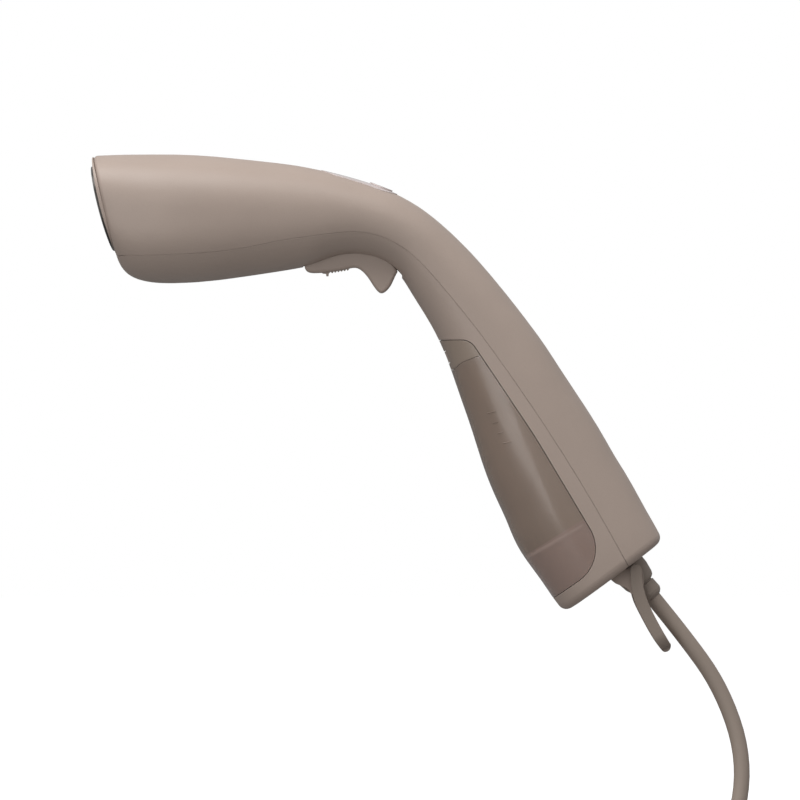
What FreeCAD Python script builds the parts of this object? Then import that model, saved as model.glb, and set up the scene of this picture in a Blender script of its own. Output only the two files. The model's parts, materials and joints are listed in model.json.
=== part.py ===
"""Hand-held garment steamer with a bent handle, a slide-off water tank and a mains lead.

All sizes are in millimetres. +Z is up with the steamer held in the hand, the steam head points
towards -X and the part is symmetric about the plane Y = 0. The origin is the middle of the grip,
where a hand or a holder takes hold of it. Every function below makes one sub-part.
"""
import FreeCAD, Part
import math
import os

from FreeCAD import Placement, Rotation, Vector

OUT = "parts"

# ---------------------------------------------------------------- driving dimensions
WALL = 2.4              # moulded housing wall
BASE_WALL = 3.2         # housing wall at the cord end
GAP = 0.3               # clearance between bodies that move past each other
SEAM_GAP = 0.14         # visible line between the two housing shells
TANK_WALL = 1.8         # water tank wall
LENS_PROUD = 0.3        # indicator lens stands this far out of the housing
BUTTON_PROUD = 0.9      # power button stands this far out of the housing

# Cross-sections of the housing from the head to the cord end. Each one runs from a point on the
# back (top) line to a point on the inner (finger side) line, and is as wide as twice half_width.
# fullness 2 is an ellipse and 3 a rounded rectangle.
# (back x, back z, inner x, inner z, half_width, fullness)
STATIONS = [
    (-173.2, 64.4, -160.6, 12.5, 38.5, 3.00),
    (-169.0, 64.6, -157.0, 6.4, 39.8, 2.95),
    (-161.0, 64.9, -151.0, 2.9, 40.8, 2.90),
    (-149.0, 65.1, -142.5, 1.2, 41.5, 2.80),
    (-132.0, 65.1, -129.0, 1.0, 41.3, 2.70),
    (-110.0, 63.9, -110.0, 2.5, 38.8, 2.60),
    (-84.0, 61.2, -84.0, 6.2, 33.5, 2.45),
    (-55.0, 56.2, -59.0, 11.6, 27.5, 2.30),
    (-28.0, 48.0, -44.0, 14.9, 23.6, 2.20),
    (-10.0, 38.6, -27.5, 11.0, 21.6, 2.20),
    (7.5, 24.1, -14.5, -3.6, 20.8, 2.20),
    (20.0, 11.1, -6.0, -17.3, 20.6, 2.20),
    (37.5, -10.1, 3.9, -38.0, 21.4, 2.25),
    (49.3, -25.7, 9.4, -53.6, 22.3, 2.30),
    (60.0, -41.7, 15.0, -69.7, 23.2, 2.35),
    (71.4, -59.0, 21.1, -88.7, 24.1, 2.40),
    (82.5, -77.0, 28.6, -107.6, 24.8, 2.45),
    (90.9, -91.2, 35.7, -123.8, 25.2, 2.50),
    (99.0, -105.2, 44.2, -138.8, 25.4, 2.55),
    (106.5, -118.6, 55.0, -154.0, 25.4, 2.60),
    (111.1, -127.6, 62.7, -163.3, 25.0, 2.60),
]
SECTION_POINTS = 24     # points that a cross-section's curve passes through
HEAD_ROUND = 2.0        # rounding of the rim round the steam plate
BASE_ROUND = 4.5        # rounding of the housing's cord end

# The line where the upper and lower shells meet, from the head's rim to the cord end.
SEAM = [
    (-190, 13.4), (-160, 14.0), (-125, 15.0), (-100, 17.5), (-80, 21.5), (-60, 24.5), (-40, 26.0),
    (-24, 21.5), (0, 0), (17.5, -21.5), (30, -38.5), (50, -67.5), (75, -107.5), (92, -137.5),
    (100, -152),
]

# Local frames: a point (x, z) on the plane Y = 0 and the direction of the frame's own +X axis.
HEAD = ((-166.9, 38.45), (0.9718, 0.2358))      # centre of the rim, +X into the head
TOP = ((-40.0, 51.9), (0.955, -0.2966))         # on the back line at the lens, +Z out of it
PUMP = ((8.0, -4.5), (0.587, -0.8096))          # middle of the pump, +X towards the tank
CORD_EXIT = ((93.5, -140.6), (0.636, -0.7717))  # where the lead leaves the base, +X outwards

# Water tank: the outline of its bay in side view, and the way that it slides off.
TANK_PULL = Vector(-0.840, 0, -0.5425)          # off the handle, square to the bay
TANK_TRAVEL = 45.0
BAY_CORNERS = [
    ((-40.0, -27.5), 0.0), ((15.0, -27.5), 8.0), ((47.4, -75.9), 300.0), ((83.7, -136.9), 19.5),
    ((35.0, -172.0), 0.0), ((-40.0, -172.0), 0.0),
]
CAP_LINE = [(-60, -42.5), (6.5, -42.5), (11.0, -38.8), (110, -0.4)]    # below the tank's top cap
FLOOR_LINE = [(-5, -162.9), (45.0, -134.0), (67.5, -121.0), (110, -96.4)]   # the tank's inner floor
SPOUT = (56.0, -90.5)                           # where the tank's spout leaves its back wall
SPOUT_INNER_END = -4.3
FILL_PLUG = (33.5, -54.8)
FILL_PLUG_Y = -9.0
FILL_PLUG_TRAVEL = 7.0
LATCH_AT = (3.2, -36.3)                         # middle of the latch button on the inner line
LATCH_TRAVEL = 2.0
LATCH_HALF_WIDTH = 7.0
LATCH_HALF_HEIGHT = 2.9
LATCH_DEPTH = 7.0

# Trigger, its hinge pin and its steam lock.
TRIGGER_PIVOT = (-61.5, 16.5)
TRIGGER_HALF_WIDTH = 8.0
TRIGGER_PULL_DEG = 6.0
PIN_RADIUS = 1.5
PIN_FIT = 0.05
LOCK_HALF_WIDTH = 5.5
LOCK_TRAVEL = 4.0
LOCK_WAY = (-0.9925, -0.1219)

# Steam head.
RIM_HALF_HEIGHT = 26.7
RIM_HALF_WIDTH = 38.5
FRONT_BOW = 212.0       # radius of the bowed front, seen from the side
FRONT_PROUD = 1.7       # the front frame's highest point above the housing's rim
PLATE_THICK = 1.2
PLATE_HALF_HEIGHT = 21.6
PLATE_HALF_WIDTH = 35.5
STEAM_HOLE_RADIUS = 1.1

# Control lens and power button, in the TOP frame.
LENS_X = (-20.0, 19.8)
LENS_HALF_WIDTH = 10.5
LENS_DEPTH = 1.3
BUTTON_X = 11.0
BUTTON_RADIUS = 6.0
BUTTON_TRAVEL = 0.8
LED_X = -8.0
BOARD_Z = -10.0

# Hanging loop.
LOOP_PIVOT = (97.6, -142.2)
LOOP_WAY = (0.4600, -0.8879)
LOOP_REACH = 33.7       # from the pivot to where the loop's corners begin
LOOP_CORNER = 8.0
EYE_REACH = 30.0        # from the pivot to where the eye's corners begin
EYE_CORNER = 5.1
LUG = (9.4, 12.0)       # inner and outer face of each lug, along Y
LOOP_LEG = (12.3, 15.1)     # inner and outer face of each leg, along Y
LOOP_PIN_RADIUS = 1.25
LOOP_PIN_END = 13.7     # the pins stop inside the legs

# Mains lead: 8 mm round, 1.8 m long. Its free end is wound in a tied coil.
CORD_RADIUS = 4.0
BUSH_LENGTH = 20.45
BUSH_INNER_END = -7.0
FLOOR_Z = -305.0        # the surface that the coil and the plug lie on
COIL_CENTRE = (66.0, 0.0)
COIL_TURN_RADIUS = 44.0     # middle of the turns
COIL_WIDTH = 32.0           # the turns spiral in on the floor and out again on top
COIL_HEIGHT = 16.4          # two layers of turns
ARC_SHARE = 0.45            # share of the shorter run that an arc takes up
# The route of the lead from the end of its bush to the coil, a list chosen by hand.
CORD_ROUTE = [
    (106.5, 0.0, -156.4), (121.0, 0.0, -174.0), (140.5, -1.5, -201.0), (152.0, -6.0, -235.0),
    (148.0, -16.0, -268.0), (128.0, -30.0, -292.0), (98.0, -50.0, -301.0), (72.0, -56.0, -301.0),
]
# The last stretch, from the coil's side to the plug.
TAIL_ROUTE = [(66.0, 52.0, -292.8), (92.0, 53.5, -292.8), (119.0, 60.7, -291.5)]
PLUG_WAY = Vector(0.966, 0.259, 0)
PLUG_AT = Vector(119.0, 60.7, -291.5)


# ---------------------------------------------------------------- helpers
def at(x, z, y=0.0):
    return Vector(x, y, z)


def aim(shape, frame, y=0.0):
    """The shape moved from its own frame into a local frame (point, direction of +X)."""
    (x, z), (dx, dz) = frame
    turn = Rotation(Vector(0, 1, 0), -math.degrees(math.atan2(dz, dx)))
    moved = shape.copy()
    moved.Placement = Placement(at(x, z, y), turn).multiply(moved.Placement)
    return moved


def spot(frame, x, z=0.0, y=0.0):
    """The place in the part's frame of a point given in a local frame."""
    (ox, oz), (dx, dz) = frame
    return Vector(ox + x * dx - z * dz, y, oz + x * dz + z * dx)


def rod(radius, x0, x1, y=0.0, z=0.0):
    """Round bar along X."""
    return Part.makeCylinder(radius, x1 - x0, Vector(x0, y, z), Vector(1, 0, 0))


def upright(radius, z0, z1, x=0.0, y=0.0):
    """Round bar along Z."""
    return Part.makeCylinder(radius, z1 - z0, Vector(x, y, z0), Vector(0, 0, 1))


def crossbar(radius, point, y0, y1):
    """Round bar along Y."""
    return Part.makeCylinder(radius, y1 - y0, at(point[0], point[1], y0), Vector(0, 1, 0))


def block(x0, x1, y0, y1, z0, z1):
    return Part.makeBox(x1 - x0, y1 - y0, z1 - z0, Vector(x0, y0, z0))


def slab(points, y0, y1):
    """A side-view polygon with thickness along Y."""
    corners = [at(x, z, y0) for x, z in points]
    face = Part.Face(Part.makePolygon(corners + corners[:1]))
    return face.extrude(Vector(0, y1 - y0, 0))


def curve(points):
    """A smooth open curve through side-view points."""
    spline = Part.BSplineCurve()
    spline.interpolate([at(x, z) for x, z in points])
    return spline.toShape()


def outline_solid(edges, y0, y1):
    """A closed side-view outline of joined edges, with thickness along Y."""
    face = Part.Face(Part.Wire(edges))
    face.translate(Vector(0, y0, 0))
    return face.extrude(Vector(0, y1 - y0, 0))


def union(first, *others):
    return first.fuse(list(others)).removeSplitter() if others else first


def turned(profile):
    """A solid of revolution about X from (x, radius) points that start and end on the axis."""
    corners = [Vector(x, 0, r) for x, r in profile]
    face = Part.Face(Part.makePolygon(corners + corners[:1]))
    return face.revolve(Vector(0, 0, 0), Vector(1, 0, 0), 360)


def tangent_arc(before, corner, after, reach):
    """The arc that rounds a corner, touching both runs at the distance reach from it."""
    into = (corner - before).normalize()
    out = (after - corner).normalize()
    half = into.getAngle(out) / 2
    radius = reach / math.tan(half)
    inward = (out - into).normalize()
    middle = corner + inward * (radius / math.cos(half) - radius)
    start, end = corner - into * reach, corner + out * reach
    return Part.Arc(start, middle, end).toShape(), start, end, radius


def rounded_route(name, points):
    """Straight runs joined by tangent arcs, each as large as its two runs allow."""
    points = [Vector(*p) for p in points]
    edges, here, radii = [], points[0], []
    for before, corner, after in zip(points, points[1:], points[2:]):
        reach = ARC_SHARE * min((corner - before).Length, (after - corner).Length)
        arc, start, end, radius = tangent_arc(before, corner, after, reach)
        edges += [Part.LineSegment(here, start).toShape(), arc]
        here = end
        radii.append(round(radius, 1))
    edges.append(Part.LineSegment(here, points[-1]).toShape())
    print(name, "arc radii", radii)
    return Part.Wire(edges)


def tube(name, points, radius):
    """A round solid along a rounded route."""
    path = rounded_route(name, points)
    way = Vector(*points[1]) - Vector(*points[0])
    ring = Part.Wire([Part.Circle(Vector(*points[0]), way, radius).toShape()])
    solid = path.makePipeShell([ring], True, False)
    expected = math.pi * radius ** 2 * path.Length
    print(name, "length", round(path.Length, 1), "volume / expected", round(solid.Volume / expected, 4))
    return solid


def oval_wire(half_height, half_width, fullness, x):
    """A closed oval across X: fullness 2 is an ellipse, larger is squarer."""
    points = []
    for k in range(SECTION_POINTS):
        angle = 2 * math.pi * k / SECTION_POINTS
        c, s = math.cos(angle), math.sin(angle)
        z = half_height * math.copysign(abs(c) ** (2 / fullness), c)
        y = half_width * math.copysign(abs(s) ** (2 / fullness), s)
        points.append(Vector(x, y, z))
    spline = Part.BSplineCurve()
    spline.interpolate(Points=points, PeriodicFlag=True)
    return Part.Wire([spline.toShape()])


def oval_prism(half_height, half_width, fullness, x0, x1):
    return Part.Face(oval_wire(half_height, half_width, fullness, x0)).extrude(Vector(x1 - x0, 0, 0))


def pill_prism(x0, x1, half_width, z0, z1):
    """A plate with round ends, standing along Z."""
    r = half_width
    middle = block(x0 + r, x1 - r, -r, r, z0, z1)
    return union(middle, upright(r, z0, z1, x0 + r), upright(r, z0, z1, x1 - r))


# ---------------------------------------------------------------- the housing's form
def station_wire(station, inset, shift):
    """One cross-section, made smaller by inset and moved along the housing by shift."""
    back_x, back_z, inner_x, inner_z, half_width, fullness = station
    back, inner = at(back_x, back_z), at(inner_x, inner_z)
    across = back - inner
    half = across.Length / 2 - inset
    across.normalize()
    centre = (back + inner) * 0.5 + Vector(across.z, 0, -across.x) * shift
    points = []
    for k in range(SECTION_POINTS):
        angle = math.pi + 2 * math.pi * k / SECTION_POINTS
        c, s = math.cos(angle), math.sin(angle)
        u = half * math.copysign(abs(c) ** (2 / fullness), c)
        y = (half_width - inset) * math.copysign(abs(s) ** (2 / fullness), s)
        points.append(centre + across * u + Vector(0, y, 0))
    spline = Part.BSplineCurve()
    spline.interpolate(Points=points, PeriodicFlag=True)
    return Part.Wire([spline.toShape()])


def form(inset, head_shift=0.0, base_shift=0.0):
    """The housing's smooth form, inset all round and moved at its two ends."""
    last = len(STATIONS) - 1
    shifts = {0: head_shift, last: base_shift}
    wires = [station_wire(s, inset, shifts.get(i, 0.0)) for i, s in enumerate(STATIONS)]
    return Part.makeLoft(wires, True, False)


def rounded_form():
    """The outer form with its rim and its cord end rounded."""
    solid = form(0)
    rim = min(solid.Edges, key=lambda e: e.CenterOfMass.x)
    solid = solid.makeFillet(HEAD_ROUND, [rim])
    end_length = station_wire(STATIONS[-1], 0, 0).Length
    end = min(solid.Edges, key=lambda e: abs(e.Length - end_length))
    return solid.makeFillet(BASE_ROUND, [end])


def above_seam(lift):
    """Everything on the back side of the shells' seam, with the seam moved outwards by lift."""
    line = curve([(x + 0.8 * lift, z + lift) for x, z in SEAM])
    start, end = line.Vertexes[0].Point, line.Vertexes[-1].Point
    far = [end, at(200, end.z), at(200, 100), at(start.x, 100), start]
    edges = [line] + [Part.LineSegment(a, b).toShape() for a, b in zip(far, far[1:])]
    return outline_solid(edges, -60, 60)


def bay(offset):
    """The tank bay's outline as a prism, grown by offset."""
    corners = [at(x, z) for (x, z), _ in BAY_CORNERS]
    count = len(corners)
    edges, ends = [], []
    for i, (corner, (_, radius)) in enumerate(zip(corners, BAY_CORNERS)):
        before, after = corners[i - 1], corners[(i + 1) % count]
        if radius:
            turn = (corner - before).getAngle(after - corner)
            arc, start, end, _ = tangent_arc(before, corner, after, radius * math.tan(turn / 2))
            ends.append((start, end))
            edges.append(arc)
        else:
            ends.append((corner, corner))
    for i in range(count):
        edges.append(Part.LineSegment(ends[i][1], ends[(i + 1) % count][0]).toShape())
    wire = Part.Wire(Part.__sortEdges__(edges))
    if offset:
        wire = wire.makeOffset2D(offset)
    face = Part.Face(wire)
    face.translate(Vector(0, -60, 0))
    return face.extrude(Vector(0, 120, 0))


OUTER = rounded_form()
SKIN = form(WALL, -3.0, -BASE_WALL)     # the housing's inside


def pull_frame(point):
    """A local frame on the tank bay's wall, +X into the handle, against the tank's pull."""
    return (point, (-TANK_PULL.x, -TANK_PULL.z))


# ---------------------------------------------------------------- housing shells
SCREW_PLACES = [(45.2, -72.6), (67.8, -109.6)]
SCREW_Y = (-12.5, 12.5)


def bay_wall():
    """The wall between the handle's inside and the tank."""
    return form(WALL / 2, 0, -1).common(bay(WALL)).cut(bay(0))


def wall_holes():
    """Holes in the bay wall for the spout's socket, the fill plug and the shell screws."""
    holes = [aim(rod(7.1, -1, 4), pull_frame(SPOUT)),
             aim(rod(7.6, -1, 4), pull_frame(FILL_PLUG), FILL_PLUG_Y)]
    for place in SCREW_PLACES:
        for y in SCREW_Y:
            screw = union(rod(3.1, -1, 1.5), rod(1.7, 0, 5))
            holes.append(aim(screw, pull_frame(place), y))
    return holes


def bush_hole():
    return aim(rod(9.3, -12, 6), CORD_EXIT)


def rim_open():
    """The space that the front frame's spigot needs inside the rim."""
    return aim(oval_prism(RIM_HALF_HEIGHT - 1.6, RIM_HALF_WIDTH - 1.6, 3.0, -4, 4.6), HEAD)


def trigger_slot():
    width = TRIGGER_HALF_WIDTH + GAP + 0.05
    return slab([(-68.5, 0), (-68.5, 13.5), (-60, 19), (-44, 21.5), (-28.5, 19.5), (-19, 11), (-19, -8)],
                -width, width)


def lens_pocket():
    pill = aim(pill_prism(LENS_X[0] - 0.15, LENS_X[1] + 0.15, LENS_HALF_WIDTH + 0.15, -8, 6), TOP)
    return pill.cut(form(LENS_DEPTH + 0.05))


def screw_bosses():
    """Four posts of the upper shell that take the shell screws."""
    posts = []
    for place in SCREW_PLACES:
        for y in SCREW_Y:
            post = aim(rod(3.2, 2.7, 32), pull_frame(place), y).common(form(WALL / 2))
            posts.append(post.cut(aim(rod(PIN_RADIUS, 2, 14), pull_frame(place), y)))
    return posts


def upper_shell(hollow):
    shell = hollow.common(above_seam(SEAM_GAP))
    shell = shell.fuse(screw_bosses())
    stem_hole = aim(upright(3.6, -9, 6, BUTTON_X), TOP)
    light_hole = aim(upright(2.6, -9, 6, LED_X), TOP)
    return shell.cut([lens_pocket(), stem_hole, light_hole, bush_hole(), rim_open()])


def trigger_ears():
    """Two ears inside the neck that hold the trigger's pin."""
    ears = []
    for side in (-1, 1):
        y0, y1 = sorted((side * 9.6, side * 12.4))
        ear = slab([(-66.5, 5), (-66.5, 18), (-63, 21), (-59.5, 21), (-55.5, 18), (-55.5, 5)], y0, y1)
        ears.append(ear.common(form(WALL / 2)))
    return ears


def loop_lugs():
    """Two lugs on the base, flared at the foot, that carry the hanging loop."""
    lugs = []
    for side in (-1, 1):
        y0, y1 = sorted((side * LUG[0], side * LUG[1]))
        foot = [curve([(84.9, -145.4), (87.2, -148.8), (91.0, -150.4), (94.9, -153.6)]),
                curve([(94.9, -153.6), (97.6, -155.4), (101.0, -153.4)]),
                curve([(101.0, -153.4), (101.6, -147.6), (100.9, -142.0)])]
        top = [at(100.9, -142.0), at(97.2, -139.0), at(93.0, -142.0), at(91.2, -140.6), at(84.9, -145.4)]
        foot += [Part.LineSegment(a, b).toShape() for a, b in zip(top, top[1:])]
        lugs.append(outline_solid(foot, y0, y1))
    return lugs


def lead_saddle():
    """The block under the mains lead that the cord clamp is screwed to."""
    saddle = aim(block(-20, -13.4, -11, 11, -7, -2.9), CORD_EXIT)
    return saddle.cut(bay(1.0))


def lower_shell(hollow):
    shell = hollow.cut(above_seam(0)).cut(bay(0))
    shell = shell.fuse([bay_wall().cut(above_seam(0)), lead_saddle()] + trigger_ears() + loop_lugs())
    pins = [crossbar(PIN_RADIUS, TRIGGER_PIVOT, -13, 13), crossbar(LOOP_PIN_RADIUS, LOOP_PIVOT, -16, 16)]
    screws = [aim(upright(1.25, -9, 0, -16.7, y), CORD_EXIT) for y in (-7.5, 7.5)]
    return shell.cut(wall_holes() + [bush_hole(), rim_open(), trigger_slot()] + pins + screws)


# ---------------------------------------------------------------- steam head
def bowed(offset):
    """A large cylinder whose surface is the bowed front, moved outwards by offset."""
    radius = FRONT_BOW + offset
    centre = Vector(-FRONT_PROUD + FRONT_BOW, -60, 3.0)
    return Part.makeCylinder(radius, 120, centre, Vector(0, 1, 0))


def face_frame():
    """The frame round the steam plate: a bowed ring with a spigot that centres both shells."""
    ring = oval_prism(RIM_HALF_HEIGHT - 0.7, RIM_HALF_WIDTH - 0.7, 3.0, -6, 0).common(bowed(0))
    spigot = oval_prism(RIM_HALF_HEIGHT - 1.8, RIM_HALF_WIDTH - 1.8, 3.0, 0, 4.4)
    window = oval_prism(19.2, 33.2, 3.0, -8, 6)
    return aim(union(ring, spigot).cut(window), HEAD)


def steam_holes():
    """Steam holes in three nested arcs and a middle row."""
    places = [(0.0, y) for y in (-18, -9, 0, 9, 18)]
    for reach_z, reach_y, count in ((8.0, 23.0, 12), (14.5, 28.5, 20)):
        for k in range(count):
            angle = 2 * math.pi * (k + 0.5) / count
            places.append((reach_z * math.cos(angle), reach_y * math.sin(angle)))
    return [rod(STEAM_HOLE_RADIUS, -8, 3, y, z) for z, y in places]


def steam_plate():
    plate = oval_prism(PLATE_HALF_HEIGHT, PLATE_HALF_WIDTH, 3.0, -8, 1).common(bowed(PLATE_THICK))
    return aim(plate.cut([bowed(0)] + steam_holes()), HEAD)


def boiler_gasket():
    ring = oval_prism(19.0, 33.0, 3.0, -5, -1.2).common(bowed(0))
    return aim(ring.cut(oval_prism(17.0, 31.0, 3.0, -8, 0)), HEAD)


ELEMENT_PATH = [(27.0, -22.0, 9.0), (10.0, -22.0, 9.0), (10.0, 24.0, 9.0), (10.0, 24.0, -9.0),
                (10.0, -22.0, -9.0), (27.0, -22.0, -9.0)]
ELEMENT_RADIUS = 3.2


def heating_element():
    """A tubular element cast into the boiler, bent in a U, with both ends out of its back."""
    return aim(tube("heating_element", ELEMENT_PATH, ELEMENT_RADIUS), HEAD)


def boiler_block():
    """The cast aluminium boiler with its steam chamber open to the plate."""
    body = oval_prism(18.8, 32.8, 3.0, -1.2, 18).common(bowed(0))
    chamber = oval_prism(15.5, 29.5, 3.0, -2, 4)
    ribs = [block(0, 5, y - 1, y + 1, -12, 12) for y in (-20, -10, 0, 10, 20)]
    inlet = rod(1.5, 3, 19, 0, 0)
    return aim(union(body.cut(chamber), *ribs).cut(inlet), HEAD).cut(heating_element())


BOILER_SCREWS = [(y, z) for y in (-28.3, 28.3) for z in (-7.5, 7.5)]


def boiler_cover():
    """The boiler's back cover with the water inlet spout."""
    cover = oval_prism(18.8, 32.8, 3.0, 18, 20)
    spout = rod(3.0, 20, 28)
    holes = [rod(1.5, 17, 22, y, z) for y, z in BOILER_SCREWS] + [rod(1.5, 17, 29)]
    ends = [rod(ELEMENT_RADIUS + 0.1, 17, 21, -22, z) for z in (-9.0, 9.0)]
    return aim(union(cover, spout).cut(holes + ends), HEAD)


def boiler_screws():
    screws = [union(rod(1.5, 19.9, 20.1, y, z), rod(1.5, 18, 20, y, z), rod(2.8, 20, 22, y, z))
              for y, z in BOILER_SCREWS]
    return aim(Part.makeCompound(screws), HEAD)


def heat_shield():
    """A thin sleeve that keeps the boiler's heat off the shells."""
    sleeve = oval_prism(20.9, 34.9, 3.2, 4.7, 18).cut(oval_prism(20.2, 34.2, 3.2, 4, 19))
    sleeve.translate(Vector(0, 0, -1.2))
    return aim(sleeve, HEAD)


def thermostat():
    disc = rod(8.0, 20, 26, 14, 0)
    cap = rod(5.5, 26, 29, 14, 0)
    tabs = [block(29, 35, 11, 17, z - 0.4, z + 0.4) for z in (-3, 3)]
    return aim(union(disc, cap, *tabs), HEAD)


def thermal_fuse():
    body = rod(2.0, 20, 34, 22.5, 11)
    lead = rod(0.6, 34, 40, 22.5, 11)
    return aim(union(body, lead), HEAD)


# ---------------------------------------------------------------- control lens, button and board
def indicator_lens():
    pill = aim(pill_prism(LENS_X[0], LENS_X[1], LENS_HALF_WIDTH, -8, 6), TOP)
    hole = aim(upright(BUTTON_RADIUS + GAP, -9, 7, BUTTON_X), TOP)
    return pill.common(form(-LENS_PROUD)).cut([form(LENS_DEPTH), hole])


def power_button():
    head = aim(upright(BUTTON_RADIUS, -9, 8, BUTTON_X), TOP).common(form(-BUTTON_PROUD)).cut(form(0.3))
    stem = aim(upright(3.2, -6.4, 6, BUTTON_X), TOP).common(form(0.2))
    return union(head, stem)


def light_guide():
    rod_up = aim(upright(2.4, BOARD_Z + 3.2, 6, LED_X), TOP)
    return rod_up.common(form(LENS_DEPTH))


def control_board():
    return aim(block(-19, 19, -10, 10, BOARD_Z - 1.6, BOARD_Z), TOP)


def indicator_led():
    return aim(union(block(LED_X - 2, LED_X + 2, -2, 2, BOARD_Z, BOARD_Z + 1.2),
                     upright(1.6, BOARD_Z + 1, BOARD_Z + 3, LED_X)), TOP)


def button_switch():
    body = block(BUTTON_X - 3, BUTTON_X + 3, -3, 3, BOARD_Z, BOARD_Z + 2)
    return aim(union(body, upright(1.6, BOARD_Z + 1.9, BOARD_Z + 2.7, BUTTON_X)), TOP)


def board_parts():
    """The relay and the capacitor, side by side under the board."""
    relay = block(-17, -8, -8, 1, BOARD_Z - 8, BOARD_Z - 1.6)
    capacitor = upright(2.5, BOARD_Z - 7, BOARD_Z - 1.6, -12, 5.5)
    return aim(Part.makeCompound([relay, capacitor]), TOP)


# ---------------------------------------------------------------- trigger and steam lock
LOCK_PAD = [(-59.4, 9.0), (-59.4, 6.3), (-58.6, 5.7), (-57.0, 5.6), (-56.8, 4.4), (-55.8, 4.4), (-55.6, 5.8)]
RIDGES = 6
RIDGE_START = (-54.6, 6.0)
RIDGE_STEP = (1.55, 0.26)


def lock_outline(grow):
    """The lock slider's outline, ridged along its finger side, grown by a clearance."""
    points = list(LOCK_PAD)
    for k in range(RIDGES):
        x = RIDGE_START[0] + k * RIDGE_STEP[0]
        z = RIDGE_START[1] + k * RIDGE_STEP[1]
        points += [(x, z + 0.7), (x + 0.4, z), (x + 0.9, z + 0.05)]
    end = RIDGE_START[0] + RIDGES * RIDGE_STEP[0]
    points += [(end, 8.4), (end, 9.9)]
    if not grow:
        return points
    return [(-59.4 - LOCK_TRAVEL - grow, 9.0 + grow - LOCK_TRAVEL * 0.1219),
            (-59.4 - LOCK_TRAVEL - grow, 2.0), (end + grow, 2.0), (end + grow, 9.9 + grow)]


def trigger():
    """The trigger lever: a finger lobe at the back and a hinge boss at the front."""
    under = curve([(-67.6, 9.6), (-66.6, 6.9), (-62.0, 6.0), (-54.0, 6.7), (-46.5, 8.0), (-41.7, 8.5),
                   (-38.5, 6.6), (-35.4, 2.9), (-32.5, -1.5), (-29.3, -4.1), (-26.0, -2.1), (-23.4, 2.2),
                   (-21.2, 6.6)])
    top = curve([(-21.2, 6.6), (-24.0, 11.2), (-30.0, 14.8), (-37.0, 16.8), (-44.0, 17.2), (-52.0, 15.9),
                 (-60.0, 13.9), (-66.0, 11.7), (-67.6, 9.6)])
    width = TRIGGER_HALF_WIDTH
    lever = outline_solid([under, top], -width, width)
    long_edges = [e for e in lever.Edges if abs(abs(e.CenterOfMass.y) - width) < 0.01]
    lever = lever.makeFillet(1.6, long_edges)
    boss = crossbar(3.4, TRIGGER_PIVOT, -width, width)
    lever = union(lever, boss)
    recess = slab(lock_outline(GAP), -LOCK_HALF_WIDTH - GAP, LOCK_HALF_WIDTH + GAP)
    return lever.cut([recess, crossbar(PIN_RADIUS + PIN_FIT, TRIGGER_PIVOT, -10, 10)])


def lock_slider():
    return slab(lock_outline(0), -LOCK_HALF_WIDTH, LOCK_HALF_WIDTH)


def trigger_pin():
    return crossbar(PIN_RADIUS, TRIGGER_PIVOT, -12.4, 12.4)


def trigger_spring():
    """The torsion spring's winding round the pin, beside the trigger."""
    winding = crossbar(2.2, TRIGGER_PIVOT, 8.4, 9.4)
    return winding.cut(crossbar(PIN_RADIUS + 0.15, TRIGGER_PIVOT, 8, 10))


def trigger_switch():
    body = block(-48.0, -36.0, -3, 3, 23.0, 28.5)
    plunger = block(-42.6, -41.0, -1, 1, 21.6, 23.0)
    return union(body, plunger)


# ---------------------------------------------------------------- pump and water path
def pump_body():
    """The solenoid pump's coil on its tube."""
    coil = rod(9.6, -11, 11)
    flanges = [rod(10.0, -13, -11), rod(10.0, 11, 13)]
    return aim(union(coil, *flanges).cut(rod(4.2, -14, 14)), PUMP)


def pump_end(sign):
    """An end cap of the pump with its hose spout: sign 1 for the inlet, -1 for the outlet."""
    cap = turned([(13, 0), (13, 9), (15, 9), (17, 3), (17, 2.5), (23, 2.5), (24, 1.9), (24, 0)])
    cap = cap.cut(rod(1.2, 12, 25))
    if sign < 0:
        cap = cap.mirror(Vector(0, 0, 0), Vector(1, 0, 0))
    return aim(cap, PUMP)


def pump_plunger():
    return aim(rod(4.1, -8, 10).cut(rod(1.2, -9, 11)), PUMP)


def pump_spring():
    return aim(rod(3.6, -13, -8).cut(rod(2.8, -14, -7)), PUMP)


def feed_tube():
    """The hose from the tank's socket up to the pump."""
    start = spot(pull_frame(SPOUT), 8.5, 13.2)
    end = spot(PUMP, 24.0)
    lower, upper = spot(pull_frame(SPOUT), 8.9, 24.0, 2.5), spot(PUMP, 32.0, 0, 2.5)
    return tube("feed_tube", [tuple(start), tuple(lower), tuple(upper), tuple(end)], 2.5)


def boiler_tube():
    """The silicone hose from the pump through the neck to the boiler."""
    start = spot(PUMP, -24.0)
    end = spot(HEAD, 28.0)
    route = [tuple(start), (-12.0, 0.0, 23.2), (-26.0, 0.0, 31.2), (-62.0, 0.0, 34.4), (-100.0, 0.0, 41.0),
             (-124.0, 0.0, 48.8), tuple(end)]
    return tube("boiler_tube", route, 2.5)


def tank_socket():
    """The socket in the bay wall that the tank's spout plugs into."""
    body = union(rod(7.0, 0.6, 12), upright(2.5, 6, 13.2, 8.5))
    bores = [rod(4.25, -1, 9.5), rod(5.4, 2.0, 4.2), upright(1.3, 0, 14, 8.5)]
    return aim(body.cut(bores), pull_frame(SPOUT))


def socket_seal():
    ring = Part.makeTorus(4.75, 0.6, Vector(3.1, 0, 0), Vector(1, 0, 0))
    return aim(ring, pull_frame(SPOUT))


# ---------------------------------------------------------------- water tank
def below(line, drop=0.0):
    """Everything below a side-view line that runs from +X to -X or back."""
    ends = sorted(line)
    points = [(x, z - drop) for x, z in ends]
    return slab(points + [(points[-1][0], -240), (points[0][0], -240)], -60, 60)


def tank_form():
    return OUTER.common(bay(-GAP))


def tank_inside():
    return form(TANK_WALL).common(bay(-GAP - TANK_WALL))


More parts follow.
